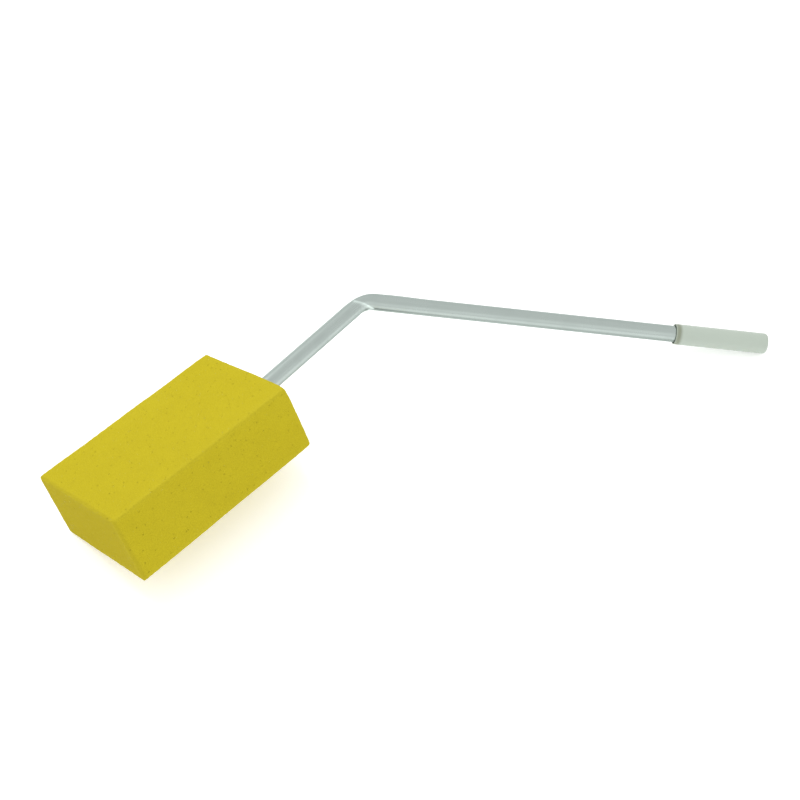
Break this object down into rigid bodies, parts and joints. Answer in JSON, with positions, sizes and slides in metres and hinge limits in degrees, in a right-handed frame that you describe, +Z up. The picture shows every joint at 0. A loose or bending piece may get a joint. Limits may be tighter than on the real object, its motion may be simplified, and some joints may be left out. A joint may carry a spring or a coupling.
{
  "type": "foam sponge brush",
  "caption": "Rectangular foam block on the end of a bent metal tube handle, with a closed plastic sleeve pushed on the handle's free end.",
  "frame": {"origin": "bottom centre of the bounding box, on the table that the brush lies on", "axes": "+Z up; +X along the straight arm of the tube, from the foam block towards the bend; the handle runs to +X and -Y and down to the table"},
  "size_m": [0.3674, 0.249, 0.0648],
  "materials": {
    "foam": "fine open-cell polyurethane foam, cut faces",
    "tube": "satin drawn tube",
    "sleeve": "soft satin, off-white",
    "plug": "moulded, grey",
    "glue": "cured clear adhesive"
  },
  "bodies": {
    "root": {"foam_block": "foam", "bent_tube": "tube", "end_sleeve": "sleeve", "tube_plug": "plug", "glue_film": "glue"}
  },
  "joints": []
}
